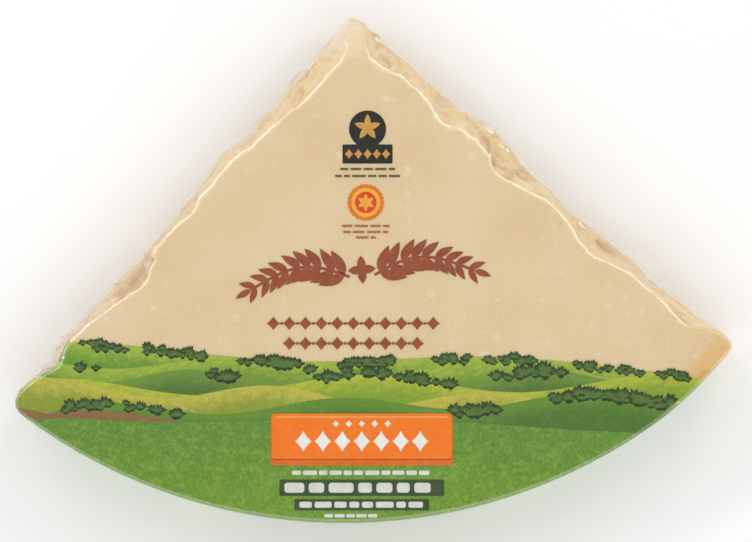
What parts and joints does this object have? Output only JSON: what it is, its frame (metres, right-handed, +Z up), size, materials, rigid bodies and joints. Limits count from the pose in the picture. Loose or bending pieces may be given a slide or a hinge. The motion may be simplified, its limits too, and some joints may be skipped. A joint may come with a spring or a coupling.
{
  "type": "vacuum-packed parmesan wedge",
  "caption": "Quarter slice of a hard aged cheese wheel with two craggy broken sides and a curved rind, shrink-packed in a printed clear film and lying on its back.",
  "frame": {"origin": "middle of the bounding box in plan, at the height of the back face that the pack lies on", "axes": "+Y from the rind to the tip along the middle of the slice, +Z up out of the printed face, +X to the right seen from above"},
  "size_m": [0.2898, 0.2064, 0.0302],
  "materials": {
    "cheese": "creamy straw-coloured paste with pale crystal specks, tan towards the rind, under tight glossy film",
    "film": "clear, thin, glossy shrink film, wrinkled at the corners",
    "print": null
  },
  "bodies": {
    "root": {"cheese_pack": "cheese"}
  },
  "joints": []
}
